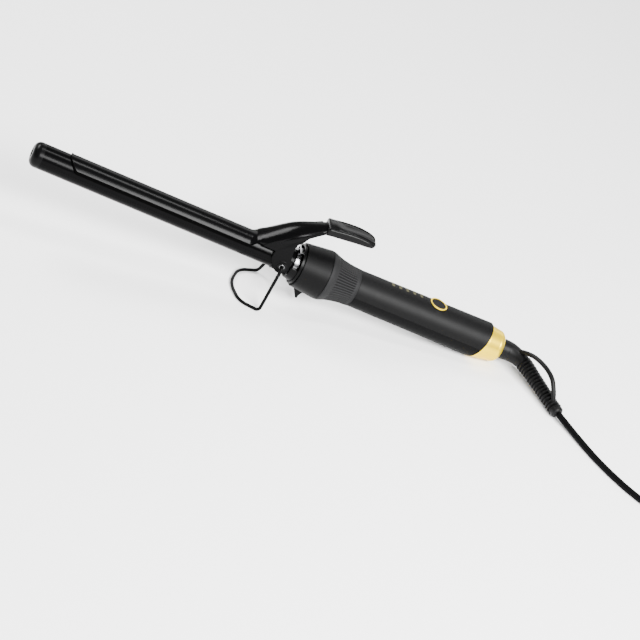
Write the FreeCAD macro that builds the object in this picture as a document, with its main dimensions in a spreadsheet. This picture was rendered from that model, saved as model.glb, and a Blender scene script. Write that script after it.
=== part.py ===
"""Corded curling iron, resting on its wire rest and the tail of its handle.

Millimetres. Most pieces are drawn in the iron's own frame: +X runs along the barrel from the tip to the
cord, +Z is the lever's side. IRON then tilts them tip-up onto the table, where z = 0 is the table and the
origin is below the middle of the iron. Pieces of the handle are drawn along the handle's own axis, which
rises a little from the barrel's, and pieces that lie on the table are drawn in the table's frame.
"""

import FreeCAD
import Part
import Sketcher
import math
import os
import re

from FreeCAD import Placement, Rotation, Vector

DIMS = {
    # the iron on the table
    "table_tilt": 7.145,
    "tip_lift": 58.969,
    "origin_shift": 192.067,
    # barrel
    "barrel_radius": 9.5,
    "barrel_wall": 0.8,
    "cap_length": 7.5,
    "cap_edge": 5.0,
    "cap_hole": 3.1,
    "cap_hole_depth": 4.0,
    "cap_plug": 13.0,
    "cap_screw_radius": 1.4,
    "barrel_end": 210.0,
    # heater
    "heater_start": 40.0,
    "heater_end": 150.0,
    "plate_start": 55.0,
    "plate_end": 135.0,
    "plate_half_width": 6.0,
    "plate_half_height": 1.1,
    "film_gap": 0.1,
    "film_wall": 0.3,
    "lead_radius": 0.7,
    "lead_offset": 4.5,
    "lead_height": 0.7,
    # clamp
    "tongue_start": 25.5,
    "tongue_tip_radius": 10.5,
    "clamp_gap": 0.2,
    "clamp_sheet": 0.75,
    "clamp_edge_height": 3.3,
    "bend_start": 171.0,
    "ear_inner": 10.5,
    "ear_sheet": 0.8,
    "boss_radius": 6.2,
    "thumb_half_width": 8.3,
    "thumb_screw_radius": 1.5,
    "thumb_screw_length": 5.4,
    # pivot
    "pivot_along": 197.3,
    "pivot_height": -0.9,
    "rivet_radius": 2.45,
    "rivet_bore": 1.33,
    "rivet_head": 3.3,
    "pivot_clearance": 0.05,
    "saddle_radius": 10.3,
    "saddle_start": 191.5,
    "saddle_end": 203.2,
    "saddle_gap": 0.02,
    "spring_half_width": 3.5,
    # wire rest
    "rest_wire": 1.25,
    # neck and collar
    "neck_start": 205.0,
    "neck_end": 244.0,
    "neck_radius": 11.2,
    "neck_bore": 9.55,
    "collar_start": 211.0,
    "collar_end": 231.0,
    "collar_front": 17.0,
    "collar_rear": 19.2,
    "collar_wall": 1.6,
    "shield_start": 208.8,
    "grip_end": 257.0,
    # handle, along its own axis
    "handle_start": 257.0,
    "handle_rise": 0.5,
    "handle_front": 14.35,
    "handle_taper": 0.0075,
    "handle_length": 120.0,
    "handle_bore": 11.7,
    "neck_socket": 11.4,
    "parting_gap": 0.15,
    "tail_join": 107.8,
    "tail_lean": 15.6,
    "front_spigot": 12.9,
    "tail_spigot": 11.5,
    "tail_bore": 10.2,
    "tail_end": 125.8,
    "screw_boss_radius": 3.0,
    "screw_boss_length": 11.9,
    "screw_thread_radius": 1.3,
    "screw_clear_radius": 1.5,
    "screw_head_radius": 2.4,
    "screw_head_clear": 2.6,
    # controls, along the handle's own axis
    "button_along": 64.7,
    "button_radius": 5.75,
    "button_top": 14.75,
    "bezel_inner": 5.9,
    "bezel_outer": 6.9,
    "bezel_top": 14.95,
    "bezel_floor": 13.55,
    "button_floor": 9.2,
    "pad_radius": 7.3,
    "pad_top": 14.15,
    "window_first": 26.2,
    "window_pitch": 6.0,
    "window_count": 5,
    "window_length": 2.4,
    "window_width": 4.4,
    "window_side": 1.6,
    "board_bottom": 2.0,
    "board_top": 3.6,
    # swivel
    "stem_radius": 4.0,
    "boot_base_radius": 8.0,
    # cord
    "cord_radius": 2.5,
    "coil_across": 543.0,
    "coil_beside": -125.5,
    "coil_mid": 29.0,
    "coil_half_width": 8.5,
    "coil_height": 15.0,
    "tie_sheet": 0.7,
    "tie_width": 9.0,
    # plug
    "plug_length": 36.0,
    "plug_height": 13.6,
    "pin_radius": 2.0,
    "pin_length": 19.0,
    "pin_spacing": 18.0,
    # slip rings
    "slip_core_radius": 3.0,
    "slip_ring_radius": 4.2,
    "slip_ring_width": 2.2,
    "slip_ring_start": 97.6,
    "slip_ring_pitch": 4.4,
}

doc = FreeCAD.newDocument("curling_iron")
sheet = doc.addObject("Spreadsheet::Sheet", "dims")
for row, (alias, number) in enumerate(DIMS.items(), start=1):
    sheet.set("A%d" % row, alias)
    sheet.set("B%d" % row, str(number))
    sheet.setAlias("B%d" % row, alias)
doc.recompute()

X_AXIS = Vector(1, 0, 0)
Y_AXIS = Vector(0, 1, 0)
Z_AXIS = Vector(0, 0, 1)
AXES = {"x": Rotation(Y_AXIS, 90), "y": Rotation(X_AXIS, -90), "z": Rotation()}
FAR = 60.0

IRON = Placement(
    Vector(-DIMS["origin_shift"], 0, DIMS["tip_lift"]),
    Rotation(Y_AXIS, DIMS["table_tilt"]),
)
HANDLE = IRON.multiply(
    Placement(Vector(DIMS["handle_start"], 0, 0), Rotation(Y_AXIS, -DIMS["handle_rise"]))
)
TABLE = Placement(Vector(-DIMS["origin_shift"], 0, 0), Rotation())
PIVOT = Vector(DIMS["pivot_along"], 0, DIMS["pivot_height"])

parts = []


# ---------------------------------------------------------------- helpers


def full(formula):
    """A formula in the names of DIMS, as an expression on the sheet."""
    return re.sub(r"[a-z_]{3,}", lambda m: "dims." + m[0] if m[0] in DIMS else m[0], str(formula))


def value(formula):
    """The number that a formula in the names of DIMS stands for."""
    return float(sheet.evalExpression(full(formula)))


def bind(obj, prop, formula):
    if isinstance(formula, str):
        obj.setExpression(prop, full(formula))
    else:
        setattr_path(obj, prop, formula)


def setattr_path(obj, prop, number):
    """Sets a plain number on a property, or on one coordinate of the placement."""
    if prop.startswith("Placement.Base."):
        place = obj.Placement
        setattr(place.Base, prop[-1], number)
        obj.Placement = Placement(place.Base, place.Rotation)
    else:
        setattr(obj, prop, number)


def move(obj, x, y, z, rotation=None):
    obj.Placement = Placement(Vector(value(x), value(y), value(z)), rotation or Rotation())
    for prop, formula in zip(("x", "y", "z"), (x, y, z)):
        if isinstance(formula, str):
            obj.setExpression("Placement.Base." + prop, full(formula))


def cylinder(name, radius, length, x, y, z, along="x"):
    obj = doc.addObject("Part::Cylinder", name)
    bind(obj, "Radius", radius)
    bind(obj, "Height", length)
    move(obj, x, y, z, AXES[along])
    return obj


def box(name, size, corner, rotation=None):
    obj = doc.addObject("Part::Box", name)
    for prop, formula in zip(("Length", "Width", "Height"), size):
        bind(obj, prop, formula)
    move(obj, *corner, rotation)
    return obj


def tube(name, outer, inner, length, x, y=0.0, z=0.0, along="x"):
    wall = cylinder(name + "_outer", outer, length, x, y, z, along)
    hole = cylinder(name + "_inner", inner, length, x, y, z, along)
    return cut(name, wall, hole)


def cut(name, base, *tools):
    for i, tool in enumerate(tools):
        obj = doc.addObject("Part::Cut", name if i == len(tools) - 1 else "%s_cut%d" % (name, i))
        obj.Base = base
        obj.Tool = tool
        base = obj
    return base


def fuse(name, *shapes):
    obj = doc.addObject("Part::MultiFuse", name)
    obj.Shapes = list(shapes)
    return obj


def common(name, *shapes):
    obj = doc.addObject("Part::MultiCommon", name)
    obj.Shapes = list(shapes)
    return obj


def group(name, shapes):
    """Several separate solids that are one node."""
    obj = doc.addObject("Part::Compound", name)
    obj.Links = list(shapes)
    return obj


def mirrored(name, source):
    obj = doc.addObject("Part::Mirroring", name)
    obj.Source = source
    obj.Normal = Y_AXIS
    return obj


def solid(name, shape):
    obj = doc.addObject("Part::Feature", name)
    obj.Shape = shape
    return obj


def piece(label, obj, place=IRON):
    """Names a finished sub-part and puts it in its place."""
    if obj.ExpressionEngine:
        obj.Label = label + "_blank"
        obj = group(label + "_set", [obj])
    obj.Label = label
    obj.Placement = place.multiply(obj.Placement)
    parts.append(obj)
    return obj


def origin_plane(body, role):
    return next(f for f in body.Origin.OriginFeatures if f.Role == role)


def outline(body, name, plane, points, offset=None):
    """A sketch through points whose coordinates are formulas. A point that starts with "via" lies on an arc."""
    sketch = body.newObject("Sketcher::SketchObject", name)
    sketch.AttachmentSupport = [(origin_plane(body, plane), "")]
    sketch.MapMode = "FlatFace"
    if offset is not None:
        sketch.AttachmentOffset = Placement(Vector(0, 0, value(offset)), Rotation())
        bind(sketch, "AttachmentOffset.Base.z", offset)
    corners = [p for p in points if p[0] != "via"]
    spots = [Vector(value(p[0]), value(p[1]), 0) for p in corners]
    arcs = {}
    seen = 0
    for p in points:
        if p[0] == "via":
            arcs[seen - 1] = Vector(value(p[1]), value(p[2]), 0)
        else:
            seen += 1
    ends = []
    for i, spot in enumerate(spots):
        following = spots[(i + 1) % len(spots)]
        if i in arcs:
            edge = Part.Arc(spot, arcs[i], following)
        else:
            edge = Part.LineSegment(spot, following)
        index = sketch.addGeometry(edge, False)
        forward = sketch.getPoint(index, 1).distanceToPoint(spot) < 1e-6
        ends.append((index, 1, 2) if forward else (index, 2, 1))
        if i in arcs:
            sketch.addConstraint(Sketcher.Constraint("Radius", index, sketch.Geometry[index].Radius))
    for i, (index, _, last) in enumerate(ends):
        following = ends[(i + 1) % len(ends)]
        sketch.addConstraint(Sketcher.Constraint("Coincident", index, last, following[0], following[1]))
    for (index, first, _), corner, spot in zip(ends, corners, spots):
        for kind, formula, number in zip(("DistanceX", "DistanceY"), corner, spot):
            at = sketch.addConstraint(Sketcher.Constraint(kind, index, first, number))
            if isinstance(formula, str):
                sketch.setExpression("Constraints[%d]" % at, full(formula))
    return sketch


def turned(name, points):
    """A body turned about the X axis from an outline of (along, radius)."""
    body = doc.addObject("PartDesign::Body", name)
    sketch = outline(body, name + "_profile", "XZ_Plane", points)
    feature = body.newObject("PartDesign::Revolution", name + "_turn")
    feature.Profile = sketch
    feature.ReferenceAxis = (sketch, ["H_Axis"])
    feature.Angle = 360
    body.Tip = feature
    return body


def plate(name, points, near, far):
    """A body cut from sheet: an outline in the XZ plane, from y = near to y = far."""
    body = doc.addObject("PartDesign::Body", name)
    sketch = outline(body, name + "_profile", "XZ_Plane", points, "-(%s)" % near)
    feature = body.newObject("PartDesign::Pad", name + "_pad")
    feature.Profile = sketch
    feature.Reversed = True
    bind(feature, "Length", "(%s) - (%s)" % (far, near))
    body.Tip = feature
    return body


def rounded_path(points, radii):
    """Straight runs joined by tangent arcs. radii holds one radius for each point between the ends."""
    edges = []
    start = points[0]
    for before, corner, after, radius in zip(points, points[1:], points[2:], radii):
        back = (before - corner).normalize()
        ahead = (after - corner).normalize()
        half_turn = (math.pi - back.getAngle(ahead)) / 2
        reach = radius * math.tan(half_turn)
        middle = (back + ahead).normalize() * (radius / math.cos(half_turn) - radius)
        edges.append(Part.LineSegment(start, corner + back * reach).toShape())
        start = corner + ahead * reach
        edges.append(Part.Arc(corner + back * reach, corner + middle, start).toShape())
    edges.append(Part.LineSegment(start, points[-1]).toShape())
    return Part.Wire(edges)


def cord_radii(points):
    """The largest arc that the two runs at each point allow, as a limp cord lies."""
    radii = []
    for before, corner, after in zip(points, points[1:], points[2:]):
        run = min((corner - before).Length, (after - corner).Length)
        half_turn = (math.pi - (before - corner).getAngle(after - corner)) / 2
        radii.append(0.45 * run / math.tan(half_turn))
    return radii


def round_bar(path, radius):
    """A solid round bar that follows a path."""
    edge = path.OrderedEdges[0]
    start = edge.valueAt(edge.FirstParameter)
    circle = Part.Wire([Part.makeCircle(radius, start, edge.tangentAt(edge.FirstParameter))])
    bar = path.makePipeShell([circle], True, False)
    expected = math.pi * radius**2 * path.Length
    print("bar length %.1f mm, volume %.4f of section times length" % (path.Length, bar.Volume / expected))
    return bar


# ---------------------------------------------------------------- barrel and heater


def make_barrel():
    length = "barrel_end - cap_length"
    piece("barrel_tube", tube("barrel_tube", "barrel_radius", "barrel_radius - barrel_wall", length, "cap_length"))
    bore = "barrel_radius - barrel_wall"
    cap = turned(
        "barrel_end_cap",
        [
            (0, "cap_hole"),
            (0, "barrel_radius - cap_edge"),
            ("via", "cap_edge * 0.2929", "barrel_radius - cap_edge * 0.2929"),
            ("cap_edge", "barrel_radius"),
            ("cap_length", "barrel_radius"),
            ("cap_length", bore),
            ("cap_plug", bore),
            ("cap_plug", "cap_screw_radius + 0.2"),
            ("cap_hole_depth", "cap_screw_radius + 0.2"),
            ("cap_hole_depth", "cap_hole"),
        ],
    )
    piece("barrel_end_cap", cap)
    screw = turned(
        "cap_screw",
        [
            (2.2, 0),
            (2.2, 2.7),
            ("cap_hole_depth", 2.7),
            ("cap_hole_depth", "cap_screw_radius"),
            (17.5, "cap_screw_radius"),
            (17.5, 0),
        ],
    )
    piece("cap_screw", screw)
    anchor = turned(
        "cap_anchor_nut",
        [(13.5, "cap_screw_radius"), (13.5, bore), (16.5, bore), (16.5, "cap_screw_radius")],
    )
    piece("cap_anchor_nut", anchor)


def make_heater():
    inner = "barrel_radius - barrel_wall"
    slot = "plate_half_height + film_gap + film_wall"
    length = "heater_end - heater_start"
    for label, low in (("heat_spreader_upper", slot), ("heat_spreader_lower", "-(%s) - 20" % slot)):
        core = cylinder(label + "_core", inner, length, "heater_start", 0.0, 0.0)
        half = box(label + "_half", (length, 24.0, 20.0), ("heater_start", -12.0, low))
        piece(label, common(label, core, half))
    plate_length = "plate_end - plate_start"
    heater = box(
        "heater_plate",
        (plate_length, "2 * plate_half_width", "2 * plate_half_height"),
        ("plate_start", "-plate_half_width", "-plate_half_height"),
    )
    film_outer = box(
        "film_outer",
        (plate_length, "2 * (plate_half_width + film_gap + film_wall)", "2 * (%s)" % slot),
        ("plate_start", "-(plate_half_width + film_gap + film_wall)", "-(%s)" % slot),
    )
    film_inner = box(
        "film_inner",
        (plate_length, "2 * (plate_half_width + film_gap)", "2 * (plate_half_height + film_gap)"),
        ("plate_start", "-(plate_half_width + film_gap)", "-(plate_half_height + film_gap)"),
    )
    piece("heater_film", cut("heater_film", film_outer, film_inner))
    piece("heater_plate", heater)
    piece("thermal_fuse", cylinder("thermal_fuse", 1.8, 9.0, 156.0, 0.0, -3.0))
    leads = []
    holes = []
    for side in (-1, 1):
        across = "%d * lead_offset" % side
        leads.append(cylinder("lead", "lead_radius", "266 - plate_end", "plate_end", across, "lead_height"))
        holes.append(cylinder("lead_hole", "lead_radius + 0.1", 8.0, 196.0, across, "lead_height"))
    piece("heater_leads", group("heater_leads", leads))
    disc = cylinder("spacer_disc", inner, 4.0, 198.0, 0.0, 0.0)
    piece("lead_spacer", cut("lead_spacer", disc, *holes))


# ---------------------------------------------------------------- clamp

# Stations of the lever, each: along, crown height, shoulder height, half width, flange edge height.
LEVER = (
    (170.0, 10.55, 3.7, 9.95, 3.3),
    (173.0, 11.1, 4.6, 10.1, 3.3),
    (178.0, 16.4, 8.6, 10.7, 3.3),
    (183.0, 21.4, 13.4, 11.1, 3.3),
    (187.0, 25.2, 17.0, 11.3, 3.3),
    (191.0, 28.4, 20.4, 11.3, 3.3),
    (198.5, 33.0, 25.6, 11.0, 8.0),
    (202.0, 34.8, 28.0, 10.2, 21.4),
    (205.0, 36.2, 30.2, 9.2, 27.9),
    (208.5, 37.9, 32.6, 8.2, 31.8),
    (214.6, 40.6, 36.6, 6.8, 35.9),
)
CROWN_WALL = 0.95


def lever_section(along, crown, shoulder, half_width, edge):
    """The lever's cross-section at one station: an inverted U of sheet."""
    wall = DIMS["ear_sheet"]
    inner = half_width - wall
    spots = [
        Vector(along, -half_width, edge),
        Vector(along, -half_width, shoulder),
        Vector(along, half_width, shoulder),
        Vector(along, half_width, edge),
        Vector(along, inner, edge),
        Vector(along, inner, shoulder),
        Vector(along, -inner, shoulder),
        Vector(along, -inner, edge),
    ]
    edges = []
    for i, spot in enumerate(spots):
        following = spots[(i + 1) % len(spots)]
        if i == 1:
            edges.append(Part.Arc(spot, Vector(along, 0, crown), following).toShape())
        elif i == 5:
            edges.append(Part.Arc(spot, Vector(along, 0, crown - CROWN_WALL), following).toShape())
        else:
            edges.append(Part.LineSegment(spot, following).toShape())
    return Part.Wire(edges)


# Where each thumb screw's head is, as (along, height).
THUMB_SCREW_SPOTS = ((222.0, 36.3), (237.0, 37.9))


def thumb_screw_at(x, z):
    return cylinder("thumb_screw", "thumb_screw_radius", "thumb_screw_length", x, 0.0, z, "z")


def make_thumb_parts():
    """The thumb rest's block, the steel tongue inside it and the screws that join them."""
    block = plate(
        "thumb_block",
        [
            (214.4, 35.6),
            (231.0, 37.7),
            (249.5, 39.2),
            (252.6, 40.6),
            (252.6, 42.6),
            (249.0, 43.9),
            (240.0, 44.9),
            (231.0, 44.8),
            (222.0, 43.6),
            (214.4, 42.1),
        ],
        "-thumb_half_width",
        "thumb_half_width",
    )
    lean = Rotation(Y_AXIS, -3.0)
    tongue = box("thumb_tongue", (33.0, 10.0, 1.5), (212.4, -5.0, 39.2), lean)
    screws = [thumb_screw_at(x, z) for x, z in THUMB_SCREW_SPOTS]
    return block, tongue, group("thumb_screw_tools", screws)


def make_clamp():
    inner = "barrel_radius + clamp_gap"
    outer = "barrel_radius + clamp_gap + clamp_sheet"
    sleeve = tube("spoon_tube", outer, inner, "bend_start - tongue_start", "tongue_start")
    upper = box("spoon_upper", (200.0, 24.0, 12.0), (10.0, -12.0, "clamp_edge_height"))
    round_tip = cylinder("tip_disc", "tongue_tip_radius", 30.0, "tongue_start + tongue_tip_radius", 0.0, -5.0, "z")
    long_part = box(
        "tip_rest", ("bend_start - tongue_start", 24.0, 30.0), ("tongue_start + tongue_tip_radius", -12.0, -5.0)
    )
    spoon = common("spoon", sleeve, upper, fuse("spoon_plan", round_tip, long_part))
    lever = solid("lever_shell", Part.makeLoft([lever_section(*s) for s in LEVER], True, True))
    near = "ear_inner"
    far = "ear_inner + ear_sheet"
    ears = []
    for side in ("near", "far"):
        low, high = ("-(%s)" % far, "-(%s)" % near) if side == "near" else (near, far)
        flank = plate(
            "ear_%s_flank" % side,
            [
                (186.2, 6.0),
                (186.7, 3.3),
                (191.4, -2.6),
                (203.0, 1.0),
                (202.2, 6.0),
                (200.2, 12.0),
                (199.4, 18.0),
                (200.4, 24.0),
                (192.0, 20.0),
                (187.0, 14.0),
            ],
            low,
            high,
        )
        boss = cylinder("ear_%s_boss" % side, "boss_radius", "ear_sheet", "pivot_along", low, "pivot_height", "y")
        ears += [flank, boss]
    block, tongue, screws = make_thumb_parts()
    pressing = fuse("clamp_blank", spoon, lever, tongue, *ears)
    pin_hole = cylinder(
        "clamp_pin_hole", "rivet_radius + pivot_clearance", 40.0, "pivot_along", -20.0, "pivot_height", "y"
    )
    piece("clamp_lever", cut("clamp_lever", pressing, pin_hole, screws))
    piece("thumb_rest", cut("thumb_rest", block, tongue, screws))
    screw_copies = [thumb_screw_at(x, z) for x, z in THUMB_SCREW_SPOTS]
    piece("thumb_screws", group("thumb_rest_screws", screw_copies))


# ---------------------------------------------------------------- pivot, spring and wire rest


def make_pivot():
    saddle_length = "saddle_end - saddle_start"
    saddle_bore = "barrel_radius + saddle_gap"
    band = tube("saddle_band", "saddle_radius", saddle_bore, saddle_length, "saddle_start")
    lower = box("saddle_lower", (saddle_length, 24.0, 16.0), ("saddle_start", -12.0, -12.0))
    cheeks = box(
        "saddle_cheeks", (saddle_length, "2 * saddle_radius", 9.0), ("saddle_start", "-saddle_radius", -5.5)
    )
    around = cylinder("saddle_bore", saddle_bore, 20.0, "saddle_start - 1.5", 0.0, 0.0)
    block = fuse("saddle_block", common("saddle_u", band, lower), cut("saddle_ears", cheeks, around))
    hole = cylinder("saddle_hole", "rivet_radius", 40.0, "pivot_along", -20.0, "pivot_height", "y")
    piece("pivot_saddle", cut("pivot_saddle", block, hole))

    shank_start = "barrel_radius + 0.15"
    head_start = "ear_inner + ear_sheet + 0.3"
    shank = cylinder(
        "rivet_shank", "rivet_radius", "(%s) - (%s)" % (head_start, shank_start), "pivot_along", shank_start,
        "pivot_height", "y",
    )
    head = cylinder("rivet_head_disc", "rivet_head", 0.6, "pivot_along", head_start, "pivot_height", "y")
    bore = cylinder("rivet_bore_hole", "rivet_bore", 6.0, "pivot_along", 9.0, "pivot_height", "y")
    rivet = cut("rivet_far", fuse("rivet_blank", shank, head), bore)
    piece("pivot_rivets", group("pivot_rivets", [rivet, mirrored("rivet_near", rivet)]))


def make_spring():
    """The flat spring that lifts the lever: riveted on the neck band, bent forward and up."""
    leaf = plate(
        "clamp_spring",
        [(218.7, 11.3), (218.7, 11.8), (207.0, 11.8), (196.8, 30.3), (196.3, 30.0), (206.6, 11.3)],
        "-spring_half_width",
        "spring_half_width",
    )
    piece("clamp_spring", leaf)


REST_HALF_WIDTH = 26.4
REST_DROP = 32.286
REST_CORNER_AHEAD = 6.5
REST_SHOULDER = (21.8, 20.6)
REST_NOSE = 28.6
REST_PIN_END = 9.8
REST_BEND = 14.4
# How round the wire's bends are, from a pin to the shoulder of the foot, and at its nose.
REST_BEND_RADII = [1.6, 3.0, 14.0]
REST_NOSE_RADIUS = 30.0


def make_wire_rest():
    """One bent wire: two pins in the pivot's hollow rivets, two splayed legs and a round foot."""
    half = [
        Vector(0, -REST_PIN_END, 0),
        Vector(0, -REST_BEND, 0),
        Vector(-REST_CORNER_AHEAD, -REST_HALF_WIDTH, -REST_DROP),
        Vector(-REST_SHOULDER[0], -REST_SHOULDER[1], -REST_DROP),
    ]
    nose = Vector(-REST_NOSE, 0, -REST_DROP)
    other = [Vector(p.x, -p.y, p.z) for p in reversed(half)]
    points = half + [nose] + other
    path = rounded_path(points, REST_BEND_RADII + [REST_NOSE_RADIUS] + REST_BEND_RADII[::-1])
    wire = solid("wire_rest", round_bar(path, DIMS["rest_wire"]))
    place = Placement(IRON.multVec(PIVOT), Rotation())
    piece("wire_rest", wire, place)


# ---------------------------------------------------------------- neck, collar and grip


def make_neck():
    length = "neck_end - neck_start"
    band = tube("neck_blank", "neck_radius", "neck_bore", length, "neck_start")
    seam = box("neck_seam", (length, 0.7, 14.0), ("neck_start", -0.35, 0.0), Rotation(X_AXIS, 41.0))
    piece("neck_band", cut("neck_band", band, seam))


def make_collar():
    wall_start = 219.0
    shell = turned(
        "collar_shell",
        [
            ("collar_start", "collar_front - 0.9"),
            ("collar_start", "collar_front"),
            ("collar_end", "collar_rear"),
            ("collar_end", "collar_rear - collar_wall"),
            (wall_start + 2, "collar_front - 0.5"),
            (wall_start + 2, "neck_radius"),
            (wall_start, "neck_radius"),
            (wall_start, "collar_front - 0.9"),
        ],
    )
    fin = plate(
        "collar_fin",
        [
            (216.0, -16.6),
            (216.6, -18.6),
            (221.6, -26.2),
            ("via", 222.6, -26.6),
            (223.2, -25.9),
            ("via", 224.6, -20.8),
            (228.0, -18.2),
            (228.0, -17.6),
        ],
        -1.5,
        1.5,
    )
    piece("front_collar", fuse("front_collar", shell, fin))
    ring = turned(
        "shield_ring",
        [
            ("shield_start", 14.4),
            ("shield_start", 15.5),
            (217.0, 15.5),
            (217.0, "collar_front - 0.9"),
            (wall_start, "collar_front - 0.9"),
            (wall_start, 14.4),
        ],
    )
    piece("shield_ring", ring)


def make_grip():
    grip = turned(
        "grip_sleeve",
        [
            ("collar_end", 18.9),
            (233.6, 18.9),
            (236.8, 17.6),
            (241.0, 16.45),
            (246.0, 15.5),
            (251.0, 14.85),
            ("grip_end", 14.5),
            ("grip_end", "front_spigot + 0.2"),
            (246.0, "front_spigot + 0.2"),
            ("collar_end", 16.0),
        ],
    )
    piece("grip_sleeve", grip)


# ---------------------------------------------------------------- handle


def behind_tail_join(name):
    """The half space behind the slanted joint between the shells and the tail ring."""
    lean = Rotation(Y_AXIS, DIMS["tail_lean"])
    corner = lean.multVec(Vector(0, -FAR / 2, -FAR / 2))
    return box(
        name, (FAR, FAR, FAR), ("tail_join + (%.4f)" % corner.x, corner.y, corner.z), lean
    )


def make_shell_blank():
    skin = doc.addObject("Part::Cone", "handle_skin")
    bind(skin, "Radius1", "handle_front")
    bind(skin, "Radius2", "handle_front + handle_taper * handle_length")
    bind(skin, "Height", "handle_length")
    skin.Placement = Placement(Vector(), AXES["x"])
    main = cut("handle_main", skin, behind_tail_join("behind_shells"))
    front = cylinder("front_spigot_core", "front_spigot", 22.0, -21.0, 0.0, 0.0)
    rear = cylinder("tail_spigot_core", "tail_spigot", "handle_length - 100", 100.0, 0.0, 0.0)
    neck_room = cylinder("neck_room", "neck_socket", 12.0, -22.0, 0.0, 0.0)
    hollow = cylinder("handle_hollow", "handle_bore", 111.0, -13.0, 0.0, 0.0)
    rear_hollow = cylinder("tail_hollow", "tail_bore", 30.0, 95.0, 0.0, 0.0)
    solid_core = fuse("shell_core", main, front, rear)
    return cut("shell_blank", solid_core, fuse("shell_void", neck_room, hollow, rear_hollow))


SCREW_SPOTS = (-9.0, 84.0)


def make_shells():
    blank = make_shell_blank()
    upper = common("upper_half", blank, box("upper_space", (160.0, 40.0, 20.0), (-25.0, -20.0, "parting_gap")))
    lower = common("lower_half", blank, box("lower_space", (160.0, 40.0, 20.0), (-25.0, -20.0, -20.0)))
    pad = cylinder("button_pad", "pad_radius", "pad_top - 10.6", "button_along", 0.0, 10.6, "z")
    boss = ("screw_boss_radius", "screw_boss_length")
    upper_bosses = [cylinder("upper_boss", *boss, u, 0.0, 0.0, "z") for u in SCREW_SPOTS]
    lower_bosses = [cylinder("lower_boss", *boss, u, 0.0, "-screw_boss_length", "z") for u in SCREW_SPOTS]
    threads = [cylinder("screw_thread_hole", "screw_thread_radius", 8.0, u, 0.0, 0.0, "z") for u in SCREW_SPOTS]
    clearances = [cylinder("screw_hole", "screw_clear_radius", 12.0, u, 0.0, -12.0, "z") for u in SCREW_SPOTS]
    heads = [cylinder("screw_head_hole", "screw_head_clear", 12.0, u, 0.0, -20.0, "z") for u in SCREW_SPOTS]
    bore = cylinder("button_bore", "bezel_inner", 20.0, "button_along", 0.0, 5.0, "z")
    flange_room = cylinder("button_room", 7.0, 5.6, "button_along", 0.0, 5.0, "z")
    seat = cylinder("bezel_seat", "bezel_outer", 5.0, "button_along", 0.0, "bezel_floor", "z")
    slots = [window_block("window_slot", 0.0, 20.0, i) for i in range(DIMS["window_count"])]
    openings = fuse("upper_openings", bore, flange_room, seat, *threads, *slots)
    upper_solid = fuse("upper_solid", upper, pad, *upper_bosses)
    piece("handle_upper_shell", cut("handle_upper_shell", upper_solid, openings), HANDLE)
    drills = fuse("lower_drills", *clearances, *heads)
    lower_solid = fuse("lower_solid", lower, *lower_bosses)
    piece("handle_lower_shell", cut("handle_lower_shell", lower_solid, drills), HANDLE)
    screws = []
    for u in SCREW_SPOTS:
        shank = cylinder("shell_screw_shank", "screw_thread_radius", 15.0, u, 0.0, -8.0, "z")
        head = cylinder("shell_screw_head", "screw_head_radius", 1.6, u, 0.0, -9.6, "z")
        screws.append(fuse("shell_screw", shank, head))
    piece("shell_screws", group("shell_screws", screws), HANDLE)


def window_block(name, low, high, i):
    corner = ("window_first + %d * window_pitch - window_length / 2" % i, "window_side - window_width / 2", low)
    return box(name, ("window_length", "window_width", high - low), corner)


def make_controls():
    legs = [window_block("light_leg", 5.2, 14.5, i) for i in range(DIMS["window_count"])]
    span = "(window_count - 1) * window_pitch + window_length"
    corner = ("window_first - window_length / 2", "window_side - window_width / 2", 8.0)
    bar = box("light_bar", (span, "window_width", 1.4), corner)
    piece("light_pipe", fuse("light_pipe", bar, *legs), HANDLE)
    lamps = []
    for i in range(DIMS["window_count"]):
        corner = ("window_first + %d * window_pitch - 0.8" % i, "window_side - 0.6", "board_top")
        lamps.append(box("lamp", (1.6, 1.2, 0.9), corner))
    piece("indicator_leds", group("indicator_leds", lamps), HANDLE)

    bezel_height = "bezel_top - bezel_floor"
    bezel = tube("bezel", "bezel_outer", "bezel_inner", bezel_height, "button_along", 0.0, "bezel_floor", "z")
    piece("button_bezel", bezel, HANDLE)
    height = "button_top - button_floor"
    body = cylinder("button_body", "button_radius", height, "button_along", 0.0, "button_floor", "z")
    flange = cylinder("button_flange", 6.7, 1.1, "button_along", 0.0, "button_floor", "z")
    piece("power_button", fuse("power_button", body, flange), HANDLE)
    switch_case = box("switch_case", (6.0, 6.0, 3.5), ("button_along - 3", -3.0, "board_top"))
    switch_stem = cylinder("switch_stem", 1.7, 1.2, "button_along", 0.0, "board_top + 3.5", "z")
    piece("tact_switch", fuse("tact_switch", switch_case, switch_stem), HANDLE)


def make_electronics():
    board = box("board_blank", (72.0, 19.0, "board_top - board_bottom"), (6.0, -9.5, "board_bottom"))
    piece("circuit_board", board, HANDLE)
    piece("power_capacitor", cylinder("power_capacitor", 3.5, 15.0, 30.0, 0.0, "board_bottom - 3.5"), HANDLE)
    piece("heater_triac", box("heater_triac", (10.0, 4.5, 5.5), (8.0, -6.5, "board_top")), HANDLE)
    block = box("terminal_block", (7.0, 9.0, 3.6), (70.0, -4.5, "board_bottom - 3.6"))
    piece("terminal_block", block, HANDLE)
    blades = []
    for side, end in ((-1, 100.0), (1, 104.5)):
        across = 4.5 if side > 0 else -5.0
        blades.append(box("contact_blade", (end - 70.0, 0.5, 2.6), (70.0, across, -1.8)))
    piece("contact_blades", group("contact_blades", blades), HANDLE)


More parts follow.
